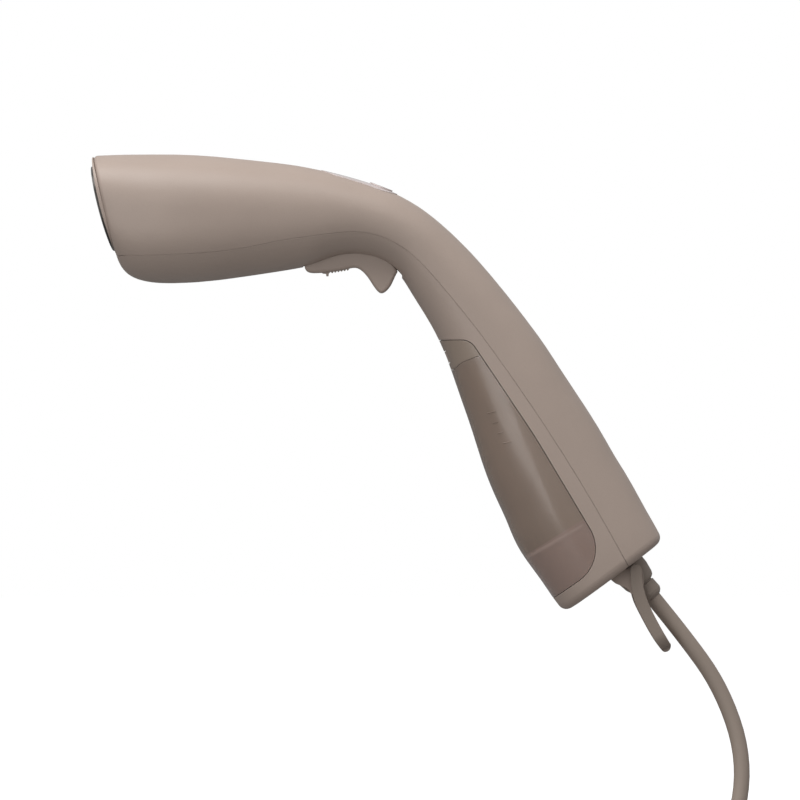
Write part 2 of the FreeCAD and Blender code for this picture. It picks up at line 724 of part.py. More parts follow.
def back_lid_form():
    """The space of the tank's back lid, set between its sides."""
    return form(TANK_WALL).common(bay(-GAP)).cut(bay(-GAP - TANK_WALL))


def tank_shell():
    """The clear tank: sides, front, inner floor and a hollow foot."""
    tank = tank_form().common(below(CAP_LINE))
    water = tank_inside().common(below(CAP_LINE, TANK_WALL)).cut(below(FLOOR_LINE))
    foot = tank_inside().common(below(FLOOR_LINE, TANK_WALL))
    lid = back_lid_form().common(below(CAP_LINE, TANK_WALL))
    return tank.cut([water, foot, lid])


def tank_lid():
    """The back wall of the tank, welded in, with the spout's and the fill hole."""
    lid = back_lid_form().common(below(CAP_LINE, TANK_WALL))
    return lid.cut([aim(rod(4.05, -4, 2), pull_frame(SPOUT)),
                    aim(rod(5.0, -4, 2), pull_frame(FILL_PLUG), FILL_PLUG_Y)])


def latch_pocket(grow):
    """The latch button's opening through the tank's cap."""
    x0, x1 = -8.0, LATCH_DEPTH + (LATCH_TRAVEL + GAP if grow else 0.0)
    width = LATCH_HALF_WIDTH + grow
    height = LATCH_HALF_HEIGHT + grow
    return aim(block(x0, x1, -width, width, -height, height), pull_frame(LATCH_AT))


def tank_cap():
    """The opaque top of the tank that holds the latch button."""
    cap = tank_form().cut(below(CAP_LINE, -SEAM_GAP))
    return cap.cut(latch_pocket(GAP))


def tank_latch():
    return latch_pocket(0).common(form(0.1)).cut(aim(rod(2.3, 3, 9), pull_frame(LATCH_AT)))


def latch_spring():
    ring = rod(2.0, 3, LATCH_DEPTH + LATCH_TRAVEL + GAP).cut(rod(1.5, 2, 11))
    return aim(ring, pull_frame(LATCH_AT))


def tank_spout():
    """The spout on the tank's back, with a flange inside the wall."""
    spout = turned([(SPOUT_INNER_END, 0), (SPOUT_INNER_END, 6), (-2.4, 6), (-2.4, 4.0), (7.6, 4.0),
                    (8.6, 3.2), (8.6, 0)])
    return aim(spout.cut(rod(1.8, -5, 9)), pull_frame(SPOUT))


def fill_plug():
    """The soft plug in the tank's fill hole, with a pull tab."""
    plug = turned([(-4.6, 0), (-4.6, 3.9), (-3.6, 4.95), (-0.3, 4.95), (-0.3, 6.6), (1.2, 6.6), (1.2, 0)])
    tab = block(1.0, 4.5, -3.5, 3.5, -0.8, 0.8)
    return aim(union(plug, tab), pull_frame(FILL_PLUG), FILL_PLUG_Y)


def pickup_tube():
    """The soft hose inside the tank, from the spout to its lowest corner."""
    start = spot(pull_frame(SPOUT), SPOUT_INNER_END)
    bend = spot(pull_frame(SPOUT), -14.0, -2.0)
    route = [tuple(start), tuple(bend), (43.5, 0.0, -108.0), (47.0, 0.0, -124.0)]
    return tube("pickup_tube", route, 2.0)


def pickup_filter():
    """The weighted strainer at the hose's free end."""
    frame = ((47.0, -124.0), (0.2137, -0.9769))
    return aim(rod(3.2, 0, 6), frame)


# ---------------------------------------------------------------- mains lead, clamp, bush and loop
def cord_bush():
    """The lead's bush: a flange inside the base, a stepped taper outside it."""
    profile = [(BUSH_INNER_END, 0), (BUSH_INNER_END, 10.6), (-4.3, 10.6), (-4.3, 9.0), (4.4, 8.95),
               (9.3, 8.1), (10.8, 7.5), (11.7, 6.3), (11.9, 5.6), (12.5, 5.6), (12.6, 6.2), (17.8, 6.4),
               (19.2, 5.8), (20.2, 4.7), (BUSH_LENGTH, 4.4), (BUSH_LENGTH, 0)]
    return aim(turned(profile), CORD_EXIT)


def mains_lead():
    """The sheathed lead inside the handle, from the bush to the control board."""
    start = spot(CORD_EXIT, BUSH_INNER_END)
    route = [tuple(start), tuple(spot(CORD_EXIT, -20.0)), (74.5, -6.2, -92.72), (61.8, -6.4, -70.12),
             (48.3, -6.1, -48.12), (34.2, -5.4, -24.62), (18.4, -4.8, 2.28), (5.3, -4.8, 20.38),
             (-11.2, -4.8, 32.48), tuple(spot(TOP, 19.0, BOARD_Z - 0.8, -5.0))]
    return tube("mains_lead", route, 2.0)


def cord_clamp():
    bar = block(-20, -13.4, -11, 11, 2.5, 5.5)
    legs = [block(-20, -13.4, y - 2.5, y + 2.5, -2.9, 2.5) for y in (-8.5, 8.5)]
    holes = [upright(1.7, -4, 6, -16.7, y) for y in (-7.5, 7.5)]
    return aim(union(bar, *legs).cut(holes), CORD_EXIT).cut(bay(WALL + 0.2))


def clamp_screws():
    screws = [union(upright(1.25, -6.4, 5.6, -16.7, y), upright(2.6, 5.5, 7.2, -16.7, y))
              for y in (-7.5, 7.5)]
    return aim(Part.makeCompound(screws), CORD_EXIT)


def shell_screws():
    screws = []
    for place in SCREW_PLACES:
        for y in SCREW_Y:
            screw = union(rod(2.9, 0.1, 1.5), rod(PIN_RADIUS, 1.4, 12.5))
            screws.append(aim(screw, pull_frame(place), y))
    return Part.makeCompound(screws)


def hanging_loop():
    """A U-shaped loop: two legs beside the bush, joined by a rounded bar at the tip."""
    left = curve([(94.65, -142.2), (95.1, -148.6), (96.6, -157.0), (99.9, -164.4), (104.8, -173.5),
                  (109.0, -180.1), (110.6, -182.2)])
    tip = curve([(110.6, -182.2), (112.4, -183.3), (114.4, -182.4), (115.2, -180.4), (114.4, -178.4)])
    right = curve([(114.4, -178.4), (109.8, -170.6), (106.9, -165.2), (104.4, -160.0), (101.9, -153.2),
                   (100.8, -147.6), (100.55, -142.2)])
    head = Part.Arc(at(100.55, -142.2), at(97.6, -139.25), at(94.65, -142.2)).toShape()
    side = outline_solid([left, tip, right, head], -LOOP_LEG[1], LOOP_LEG[1])
    flat = (LOOP_PIVOT, LOOP_WAY)
    wide, narrow = LOOP_LEG[1], LOOP_LEG[1] - LOOP_CORNER
    front = union(block(-6, LOOP_REACH, -wide, wide, -12, 12),
                  block(LOOP_REACH, LOOP_REACH + LOOP_CORNER + 3, -narrow, narrow, -12, 12),
                  *[upright(LOOP_CORNER, -12, 12, LOOP_REACH, side_y) for side_y in (-narrow, narrow)])
    open_to = LOOP_LEG[0] - EYE_CORNER
    eye = union(block(-8, EYE_REACH, -LOOP_LEG[0], LOOP_LEG[0], -13, 13),
                block(EYE_REACH - 0.5, EYE_REACH + EYE_CORNER, -open_to, open_to, -13, 13),
                *[upright(EYE_CORNER, -13, 13, EYE_REACH, side_y) for side_y in (-open_to, open_to)])
    loop = side.common(aim(front, flat)).cut(aim(eye, flat))
    pin_end = LOOP_PIN_END + 0.2
    return loop.cut(crossbar(LOOP_PIN_RADIUS + PIN_FIT, LOOP_PIVOT, -pin_end, pin_end))


def loop_pins():
    pins = []
    for side in (-1, 1):
        y0, y1 = sorted((side * LUG[0], side * LOOP_PIN_END))
        pins.append(crossbar(LOOP_PIN_RADIUS, LOOP_PIVOT, y0, y1))
    return Part.makeCompound(pins)


# ---------------------------------------------------------------- free lead, coil and plug
def coil_ring():
    """The wound part of the lead as one solid of its outer shape."""
    inner = COIL_TURN_RADIUS - COIL_WIDTH / 2
    outer = COIL_TURN_RADIUS + COIL_WIDTH / 2
    base = Vector(COIL_CENTRE[0], COIL_CENTRE[1], FLOOR_Z)
    ring = Part.makeCylinder(outer, COIL_HEIGHT, base).cut(Part.makeCylinder(inner, COIL_HEIGHT, base))
    return ring.makeFillet(3.0, ring.Edges)


def cord_coil(ends):
    """The coil with room for the two ends of the lead that run into it."""
    return coil_ring().cut(ends)


def cord_tie():
    """The strap round the coil's turns."""
    x = COIL_CENTRE[0] - COIL_TURN_RADIUS
    half = COIL_WIDTH / 2
    strap = block(x - half - 1.2, x + half + 1.2, -6, 6, FLOOR_Z, FLOOR_Z + COIL_HEIGHT + 1.4)
    return strap.cut(coil_ring())


def plug_frame(shape):
    """The plug's own frame: +X along the lead towards the pins."""
    turn = Rotation(Vector(0, 0, 1), math.degrees(math.atan2(PLUG_WAY.y, PLUG_WAY.x)))
    moved = shape.copy()
    moved.Placement = Placement(PLUG_AT, turn).multiply(moved.Placement)
    return moved


def plug_body():
    """A moulded two-pin plug with a tapered boot."""
    boot = turned([(0, 0), (0, 5.0), (16, 7.5), (16, 0)])
    grip = block(14, 38, -17.5, 17.5, -12.5, 12.5)
    grip = grip.makeFillet(8.0, [e for e in grip.Edges if abs(e.Vertexes[0].X - e.Vertexes[-1].X) > 20])
    return plug_frame(union(boot, grip))


def plug_pins():
    pins = [union(rod(2.4, 38, 56.0, y), Part.makeSphere(2.4, Vector(56.0, y, 0))) for y in (-9.5, 9.5)]
    return plug_frame(Part.makeCompound(pins))


def build():
    hollow = OUTER.cut(SKIN)
    cord = tube("cord", CORD_ROUTE, CORD_RADIUS)
    cord_tail = tube("cord_tail", TAIL_ROUTE, CORD_RADIUS)
    return {
        "upper_shell": upper_shell(hollow),
        "lower_shell": lower_shell(hollow),
        "face_frame": face_frame(),
        "steam_plate": steam_plate(),
        "boiler_gasket": boiler_gasket(),
        "boiler_block": boiler_block(),
        "heating_element": heating_element(),
        "boiler_cover": boiler_cover(),
        "boiler_screws": boiler_screws(),
        "heat_shield": heat_shield(),
        "thermostat": thermostat(),
        "thermal_fuse": thermal_fuse(),
        "indicator_lens": indicator_lens(),
        "power_button": power_button(),
        "light_guide": light_guide(),
        "control_board": control_board(),
        "indicator_led": indicator_led(),
        "button_switch": button_switch(),
        "board_parts": board_parts(),
        "trigger": trigger(),
        "lock_slider": lock_slider(),
        "trigger_pin": trigger_pin(),
        "trigger_spring": trigger_spring(),
        "trigger_switch": trigger_switch(),
        "pump_body": pump_body(),
        "pump_inlet": pump_end(1),
        "pump_outlet": pump_end(-1),
        "pump_plunger": pump_plunger(),
        "pump_spring": pump_spring(),
        "feed_tube": feed_tube(),
        "boiler_tube": boiler_tube(),
        "tank_socket": tank_socket(),
        "socket_seal": socket_seal(),
        "tank_shell": tank_shell(),
        "tank_lid": tank_lid(),
        "tank_cap": tank_cap(),
        "tank_latch": tank_latch(),
        "latch_spring": latch_spring(),
        "tank_spout": tank_spout(),
        "fill_plug": fill_plug(),
        "pickup_tube": pickup_tube(),
        "pickup_filter": pickup_filter(),
        "cord_bush": cord_bush(),
        "mains_lead": mains_lead(),
        "cord_clamp": cord_clamp(),
        "clamp_screws": clamp_screws(),
        "shell_screws": shell_screws(),
        "hanging_loop": hanging_loop(),
        "loop_pins": loop_pins(),
        "cord": cord,
        "cord_coil": cord_coil([cord, cord_tail]),
        "cord_tie": cord_tie(),
        "cord_tail": cord_tail,
        "plug_body": plug_body(),
        "plug_pins": plug_pins(),
    }


os.makedirs(OUT, exist_ok=True)
for name, shape in build().items():
    if not shape.isValid() or not shape.Solids or min(s.Volume for s in shape.Solids) <= 0:
        print("PROBLEM", name, shape.isValid(), len(shape.Solids))
    print(name, "solids", len(shape.Solids), "volume", round(shape.Volume / 1000, 2), "cm3")
    shape.exportStep(os.path.join(OUT, name + ".step"))
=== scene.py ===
"""Looks of the hand-held garment steamer: materials, mains lead, small fittings, light and camera.

All lengths are in metres in the part's own frame: +Z up, the steam head towards -X and the
steamer's middle plane at Y = 0.
"""
import json
import math

import bpy
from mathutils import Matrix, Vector
from mathutils.bvhtree import BVHTree

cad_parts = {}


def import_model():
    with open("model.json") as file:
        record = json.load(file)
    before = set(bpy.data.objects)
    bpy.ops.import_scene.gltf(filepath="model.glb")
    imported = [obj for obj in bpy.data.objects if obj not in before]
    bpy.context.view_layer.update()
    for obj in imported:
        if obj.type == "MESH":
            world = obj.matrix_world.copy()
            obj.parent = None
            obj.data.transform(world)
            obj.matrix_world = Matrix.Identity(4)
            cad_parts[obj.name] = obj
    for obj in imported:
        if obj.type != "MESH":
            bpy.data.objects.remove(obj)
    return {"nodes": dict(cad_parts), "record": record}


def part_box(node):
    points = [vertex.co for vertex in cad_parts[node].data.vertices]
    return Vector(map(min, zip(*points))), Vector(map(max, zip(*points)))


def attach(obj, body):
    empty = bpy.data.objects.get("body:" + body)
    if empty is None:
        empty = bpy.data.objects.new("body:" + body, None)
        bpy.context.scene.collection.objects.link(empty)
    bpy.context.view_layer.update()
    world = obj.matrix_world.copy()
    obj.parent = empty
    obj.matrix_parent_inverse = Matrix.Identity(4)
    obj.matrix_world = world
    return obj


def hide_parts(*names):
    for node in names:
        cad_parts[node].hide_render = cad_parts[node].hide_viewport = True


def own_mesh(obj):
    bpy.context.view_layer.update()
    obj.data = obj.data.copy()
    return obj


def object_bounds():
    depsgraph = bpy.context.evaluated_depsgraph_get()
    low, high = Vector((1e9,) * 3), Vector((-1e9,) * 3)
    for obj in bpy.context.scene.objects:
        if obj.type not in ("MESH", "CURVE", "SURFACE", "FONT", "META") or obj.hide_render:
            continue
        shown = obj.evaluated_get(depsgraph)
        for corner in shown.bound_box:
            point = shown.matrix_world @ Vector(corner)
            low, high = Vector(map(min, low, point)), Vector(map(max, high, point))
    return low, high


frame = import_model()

CAD_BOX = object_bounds()

# ---------------------------------------------------------------- places and sizes
PUMP_WAY = Vector((0.587, 0, -0.8096))      # along the pump, towards the tank
TANK_WAY = Vector((0.840, 0, 0.5425))       # from the tank into the handle
PLUG_WAY = Vector((0.966, 0.259, 0))        # from the lead to the plug's pins
CORD_RADIUS = 0.004
BUSH_END = (0.1065, 0.0, -0.1564)           # where the lead leaves its bush
CORD_ROUTE = [
    BUSH_END, (0.1210, 0.0, -0.1740), (0.1405, -0.0015, -0.2010), (0.1520, -0.0060, -0.2350),
    (0.1480, -0.0160, -0.2680), (0.1280, -0.0300, -0.2920), (0.0980, -0.0500, -0.3010),
    (0.0720, -0.0560, -0.3010),
]
TAIL_ROUTE = [(0.0660, 0.0520, -0.2928), (0.0920, 0.0535, -0.2928), (0.1190, 0.0607, -0.2915)]

# The wound part: turns spiral in on the floor, climb one layer and spiral out again on top.
COIL_CENTRE = (0.066, 0.0)
COIL_OUTER, COIL_INNER, COIL_LEAVES = 0.056, 0.032, 0.052
FLOOR_LAYER, TOP_LAYER = -0.301, -0.2928
INWARD_TURNS = 3.0
CLIMB_TURNS = 0.35
CLIMB_REST = 0.15           # of a turn on the climb before the turns widen again
COIL_TURNS = 5.5
POINTS_PER_TURN = 18
CONTROL_SHARE = 0.985       # the spline's radius over its control points' radius

# The seam between the housing's shells, as (x, z) places within a few millimetres of it.
SEAM_ROUTE = [
    (-0.169, 0.0138), (-0.160, 0.0140), (-0.125, 0.0150), (-0.100, 0.0175), (-0.080, 0.0215),
    (-0.060, 0.0245), (-0.040, 0.0260), (-0.024, 0.0215), (0.000, 0.0), (0.0175, -0.0215),
    (0.030, -0.0385), (0.050, -0.0675), (0.075, -0.1075), (0.092, -0.1375),
]
SEAM_SLANT = 0.8            # the upper shell's edge is lifted this much along +X for each length along +Z
SEAM_SEARCH = 0.004         # the seam lies within this of its route, along the lift
SEAM_STEPS = 10             # points on each stretch of the route
STRIP_RADIUS = 0.00012
STRIP_SUNK = 0.00018        # the strip's centre under the housing's skin

LIP_RADIUS = 0.00014
LIP_POINTS = 15
# For the upper and the lower lip: height that its rays start from, their way along Z, first X,
# step along X, and the lip's shift along Z from the cap's face.
LIPS = ((0.02, -1, 0.0003, 0.0012, 0.0001), (-0.08, 1, 0.0066, 0.0009, -0.00005))

MARK_COUNT = 4
MARK_FIRST = (0.0235, -0.0640)      # (x, z) of the first level mark
MARK_STEP = (0.0026, -0.0050)
MARK_LONG, MARK_SHORT = 0.0040, 0.0025
MARK_SLOPE = 0.22
MARK_RADIUS = 0.00028
OUTSIDE = 0.08                      # rays onto the skin start this far from the middle plane

# Name, place, aim, width, height and power of each softbox.
SOFTBOXES = (
    ("key", (-0.25, -0.40, 1.15), (0, 0, 0), 1.3, 0.9, 14.5),
    ("front_fill", (-0.7, -1.5, 0.0), (0, 0, -0.05), 1.0, 1.0, 6),
)
VIEW_CENTRE = Vector((-0.020, 0, -0.0575))
VIEW_WIDTH = 0.400
VIEW_DISTANCE = 4.0
SENSOR = 36.0


# ---------------------------------------------------------------- shader nodes
def add(tree, kind, settings=None, **values):
    """A new shader node with its settings, and its inputs' values by name."""
    made = tree.nodes.new(kind)
    for key, value in (settings or {}).items():
        setattr(made, key, value)
    for key, value in values.items():
        made.inputs[key.replace("_", " ")].default_value = value
    return made


def place(tree, stretch=(1, 1, 1)):
    """Object coordinates, stretched along the axes."""
    coordinates = add(tree, "ShaderNodeTexCoord")
    mapping = add(tree, "ShaderNodeMapping", Scale=stretch)
    tree.links.new(coordinates.outputs["Object"], mapping.inputs["Vector"])
    return mapping.outputs[0]


def noise(tree, scale, detail=2.0, stretch=(1, 1, 1)):
    made = add(tree, "ShaderNodeTexNoise", Scale=scale, Detail=detail)
    tree.links.new(place(tree, stretch), made.inputs["Vector"])
    return made.outputs[0]


def spread(tree, source, low, high, start=0.3, end=0.7):
    """The source's usual range turned into low..high."""
    made = add(tree, "ShaderNodeMapRange", From_Min=start, From_Max=end, To_Min=low, To_Max=high)
    tree.links.new(source, made.inputs["Value"])
    return made.outputs[0]


def mix(tree, factor, first, second):
    """Two colours mixed; each is a tuple or another node's output."""
    made = add(tree, "ShaderNodeMix", {"data_type": "RGBA"})
    tree.links.new(factor, made.inputs[0])
    for socket, colour in ((made.inputs[6], first), (made.inputs[7], second)):
        if isinstance(colour, tuple):
            socket.default_value = (*colour, 1)
        else:
            tree.links.new(colour, socket)
    return made.outputs[2]


def shade(colour, share):
    return tuple(channel * share for channel in colour)


def bump(tree, height, depth, normal=None):
    made = add(tree, "ShaderNodeBump", Strength=1.0, Distance=depth)
    tree.links.new(height, made.inputs["Height"])
    if normal:
        tree.links.new(normal, made.inputs["Normal"])
    return made.outputs[0]


def edge_mask(tree, width):
    """(bevelled normal, a mask that is 1 on edges within that width)."""
    bevel = add(tree, "ShaderNodeBevel", {"samples": 4}, Radius=width)
    geometry = add(tree, "ShaderNodeNewGeometry")
    dot = add(tree, "ShaderNodeVectorMath", {"operation": "DOT_PRODUCT"})
    tree.links.new(bevel.outputs[0], dot.inputs[0])
    tree.links.new(geometry.outputs["Normal"], dot.inputs[1])
    return bevel.outputs[0], spread(tree, dot.outputs["Value"], 1.0, 0.0, 0.90, 0.995)


def start(name, **values):
    """A new material: (material, its node tree, its shader)."""
    material = bpy.data.materials.new(name)
    material.use_nodes = True
    shader = material.node_tree.nodes["Principled BSDF"]
    for key, value in values.items():
        shader.inputs[key.replace("_", " ")].default_value = value
    return material, material.node_tree, shader


# ---------------------------------------------------------------- materials
def moulded(name, colour, roughness, grain=1500.0, depth=0.00004, edge_wear_and_highlight=0.10, **values):
    """Moulded plastic: soft patches, fine specks, spark-eroded grain, and edges lightened as wear and
    painted highlight.
    """
    material, tree, shader = start(name, **values)
    link = tree.links.new
    patch_mask = spread(tree, noise(tree, 28.0, 3.0), 0, 1)
    patches = mix(tree, patch_mask, shade(colour, 0.97), shade(colour, 1.03))
    speck_mask = spread(tree, noise(tree, 2600.0, 1.0), 0, 0.35, 0.55, 0.75)
    specks = mix(tree, speck_mask, patches, shade(colour, 0.86))
    bevelled, edges = edge_mask(tree, 0.0005)
    # Edges lightened towards a paler tone: partly wear, partly painted highlight.
    edge_wear_and_highlight_mask = spread(tree, edges, 0.0, edge_wear_and_highlight * 4, 0, 1)
    link(mix(tree, edge_wear_and_highlight_mask, specks, shade(colour, 1.22)), shader.inputs["Base Color"])
    rough = spread(tree, noise(tree, 60.0, 4.0), roughness - 0.04, roughness + 0.04)
    link(rough, shader.inputs["Roughness"])
    link(bump(tree, noise(tree, grain, 3.0), depth, bevelled), shader.inputs["Normal"])
    return material


def past_plane(tree, point, way, blend):
    """0 before the plane through the point across the way, 1 from the blend's length past it."""
    coordinates = add(tree, "ShaderNodeTexCoord")
    offset = add(tree, "ShaderNodeVectorMath", {"operation": "SUBTRACT"})
    tree.links.new(coordinates.outputs["Object"], offset.inputs[0])
    offset.inputs[1].default_value = point
    along = add(tree, "ShaderNodeVectorMath", {"operation": "DOT_PRODUCT"})
    tree.links.new(offset.outputs[0], along.inputs[0])
    along.inputs[1].default_value = way
    return spread(tree, along.outputs["Value"], 0.0, 1.0, 0.0, blend)


def smoked(name, colour, roughness, clear, painted_light_zones=()):
    """Tinted translucent plastic with a faint flow pattern; its zones of painted light are (point, way,
    blend, colour).
    """
    material, tree, shader = start(name, Transmission_Weight=clear, IOR=1.5, Coat_Weight=0.25,
                                   Coat_Roughness=0.08)
    link = tree.links.new
    flow = spread(tree, noise(tree, 18.0, 4.0, (1, 1, 0.35)), 0, 1)
    tint = mix(tree, flow, shade(colour, 0.94), shade(colour, 1.06))
    for point, way, blend, painted_light_colour in painted_light_zones:
        # Each zone lightens the tint past its plane as painted light.
        tint = mix(tree, past_plane(tree, point, way, blend), tint, painted_light_colour)
    link(tint, shader.inputs["Base Color"])
    rough = spread(tree, noise(tree, 90.0, 3.0), roughness - 0.03, roughness + 0.04)
    link(rough, shader.inputs["Roughness"])
    link(bump(tree, noise(tree, 160.0, 2.0), 0.00002), shader.inputs["Normal"])
    return material


def metal(name, colour, roughness, stretch=(1, 1, 1), depth=0.00002):
    """Metal whose grain is stretched along one way, as drawn, brushed or cast."""
    material, tree, shader = start(name, Metallic=1.0)
    link = tree.links.new
    lines = noise(tree, 400.0, 4.0, stretch)
    grain = mix(tree, spread(tree, lines, 0, 1), shade(colour, 0.85), shade(colour, 1.1))
    link(grain, shader.inputs["Base Color"])
    link(spread(tree, lines, roughness - 0.06, roughness + 0.08), shader.inputs["Roughness"])
    link(bump(tree, lines, depth), shader.inputs["Normal"])
    return material


def coated_plate(name):
    """Dark non-stick coat on the steam plate, with fine sparkle and bare rims at its holes."""
    colour = (0.060, 0.055, 0.050)
    material, tree, shader = start(name, Metallic=0.55, Coat_Weight=0.2, Coat_Roughness=0.3)
    link = tree.links.new
    flakes = spread(tree, noise(tree, 3200.0, 1.0), 0, 1, 0.6, 0.75)
    coat = mix(tree, flakes, colour, shade(colour, 2.0))
    bevelled, edges = edge_mask(tree, 0.0004)
    link(mix(tree, edges, coat, (0.33, 0.32, 0.31)), shader.inputs["Base Color"])
    link(spread(tree, noise(tree, 120.0, 3.0), 0.30, 0.42), shader.inputs["Roughness"])
    link(bump(tree, noise(tree, 2200.0, 2.0), 0.00002, bevelled), shader.inputs["Normal"])
    return material


def laminate(name):
    """Circuit board: solder mask over copper tracks."""
    material, tree, shader = start(name, Coat_Weight=0.4)
    link = tree.links.new
    mask, copper = (0.012, 0.10, 0.045), (0.03, 0.21, 0.09)
    tracks = add(tree, "ShaderNodeTexBrick", Scale=260.0, Mortar_Size=0.03, Color1=(0, 0, 0, 1),
                 Color2=(0.2, 0.2, 0.2, 1), Mortar=(1, 1, 1, 1))
    link(place(tree), tracks.inputs["Vector"])
    link(mix(tree, tracks.outputs[0], mask, copper), shader.inputs["Base Color"])
    link(spread(tree, noise(tree, 200.0), 0.30, 0.45), shader.inputs["Roughness"])
    link(bump(tree, tracks.outputs[1], 0.00003), shader.inputs["Normal"])
    return material


def webbing(name):
    """The coil's tie: a woven hook-and-loop strap."""
    colour = (0.045, 0.040, 0.036)
    material, tree, shader = start(name, Sheen_Weight=0.5, Sheen_Roughness=0.4)
    link = tree.links.new
    weave = add(tree, "ShaderNodeTexWave", {"bands_direction": "DIAGONAL"}, Scale=420.0, Distortion=1.5,
                Detail=2.0)
    link(place(tree), weave.inputs["Vector"])
    link(mix(tree, weave.outputs[1], shade(colour, 0.7), shade(colour, 1.6)), shader.inputs["Base Color"])
    link(spread(tree, noise(tree, 900.0), 0.75, 0.95), shader.inputs["Roughness"])
    link(bump(tree, weave.outputs[1], 0.00015), shader.inputs["Normal"])
    return material


SHELL = (0.394, 0.314, 0.268)
SOFT = (0.275, 0.222, 0.185)
TANK = (0.470, 0.358, 0.288)
# Painted light: the tank's tint is lighter above its inner step and under its floor.
TANK_PAINTED_LIGHT_ZONES = (
    ((0.0164, 0, -0.0485), (0.875, 0, 0.485), 0.003, (0.500, 0.386, 0.312)),    # above the inner step, a lighter tint as painted light
    ((0.0440, 0, -0.1335), (0.535, 0, -0.845), 0.0006, (0.540, 0.398, 0.340)),  # under the tank's floor, a lighter tint as painted light
)
LOOKS = {
    "shell_plastic": moulded("shell_plastic", SHELL, 0.46, Specular_IOR_Level=0.45),
    "soft_plastic": moulded("soft_plastic", SOFT, 0.58, 900.0, 0.00005),
    "lens_plastic": moulded("lens_plastic", (0.62, 0.53, 0.51), 0.16, 400.0, 0.000005, Coat_Weight=0.6,
                            Coat_Roughness=0.05),
    "plate_metal": coated_plate("plate_metal"),
    "cast_aluminium": metal("cast_aluminium", (0.58, 0.58, 0.59), 0.48, depth=0.00012),
    "steel": metal("steel", (0.56, 0.56, 0.58), 0.28, (1, 12, 12)),
    "silicone": moulded("silicone", (0.60, 0.57, 0.53), 0.50, 300.0, 0.00003, Subsurface_Weight=0.2),
    "dark_plastic": moulded("dark_plastic", (0.030, 0.030, 0.033), 0.50),
    "white_plastic": moulded("white_plastic", (0.66, 0.65, 0.61), 0.42),
    "clear_plastic": smoked("clear_plastic", (0.86, 0.84, 0.80), 0.12, 0.8),
    "board_laminate": laminate("board_laminate"),
    "tank_plastic": smoked("tank_plastic", TANK, 0.20, 0.55, TANK_PAINTED_LIGHT_ZONES),
    "cap_plastic": moulded("cap_plastic", (0.300, 0.236, 0.190), 0.36, edge_wear_and_highlight=0.0, Coat_Weight=0.1),
    "cord_sheath": moulded("cord_sheath", shade(SOFT, 1.12), 0.62, 700.0, 0.00006, 0.0),
    "tie_rubber": webbing("tie_rubber"),
    "nickel_pins": metal("nickel_pins", (0.68, 0.66, 0.62), 0.16, (1, 14, 14)),
}


def dress_cad_nodes():
    """Every CAD node gets the material of its slot in the record."""
    for subpart in frame["record"]["subparts"]:
        for slot in frame["nodes"][subpart["node"]].material_slots:
            slot.material = LOOKS[subpart["material_slot"]]


# ---------------------------------------------------------------- pieces
def finish_piece(piece, body, slot, *nodes):
    """Gives a piece its body and its finish, and hides the CAD nodes that it stands for."""
    bpy.context.scene.collection.objects.link(piece)
    piece.data.materials.append(LOOKS[slot])
    if nodes:
        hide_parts(*nodes)
    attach(piece, body)
    return piece


def wire(name, lines, radius, sides=4):
    """Round wires along smooth lines, as one curve piece."""
    data = bpy.data.curves.new(name, "CURVE")
    data.dimensions = "3D"
    data.bevel_depth = radius
    data.bevel_resolution = sides
    data.resolution_u = 6
    data.use_fill_caps = True
    for points in lines:
        spline = data.splines.new("NURBS")
        spline.points.add(len(points) - 1)
        for point, place_of in zip(spline.points, points):
            point.co = (*place_of, 1)
        spline.order_u = 3
        spline.use_endpoint_u = True
    return bpy.data.objects.new(name, data)


def strip(name, rings, closed_ends=True):
    """A mesh skin through rings of points, all with as many points."""
    count = len(rings[0])
    last = (len(rings) - 1) * count
    faces = []
    for start_of in range(0, last, count):
        for k in range(count):
            after = (k + 1) % count
            faces.append((start_of + k, start_of + after, start_of + count + after, start_of + count + k))
    if closed_ends:
        faces += [tuple(reversed(range(count))), tuple(last + k for k in range(count))]
    data = bpy.data.meshes.new(name)
    data.from_pydata([tuple(point) for ring in rings for point in ring], [], faces)
    data.polygons.foreach_set("use_smooth", [True] * len(faces))
    data.update()
    return bpy.data.objects.new(name, data)


# ---------------------------------------------------------------- mains lead
def coil_points():
    """Control points of the wound turns, clockwise seen from above."""
    points = []
    for step in range(1, round(COIL_TURNS * POINTS_PER_TURN)):
        turn = step / POINTS_PER_TURN
        widening = INWARD_TURNS + CLIMB_REST
        if turn < widening:
            radius = max(COIL_INNER, COIL_OUTER - (COIL_OUTER - COIL_INNER) * turn / INWARD_TURNS)
        else:
            radius = COIL_INNER + (COIL_LEAVES - COIL_INNER) * (turn - widening) / (COIL_TURNS - widening)
        climbed = min(1.0, max(0.0, (turn - INWARD_TURNS) / CLIMB_TURNS))
        height = FLOOR_LAYER + (TOP_LAYER - FLOOR_LAYER) * (1 - math.cos(math.pi * climbed)) / 2
        angle = -math.pi / 2 - 2 * math.pi * turn
        reach = radius / CONTROL_SHARE
        x = COIL_CENTRE[0] + reach * math.cos(angle)
        y = COIL_CENTRE[1] + reach * math.sin(angle)
        points.append((x, y, height))
    return points


def mains_lead():
    cord = wire("mains_cord", [CORD_ROUTE + coil_points() + TAIL_ROUTE], CORD_RADIUS, 8)
    finish_piece(cord, "housing", "cord_sheath", "cord", "cord_coil", "cord_tail")


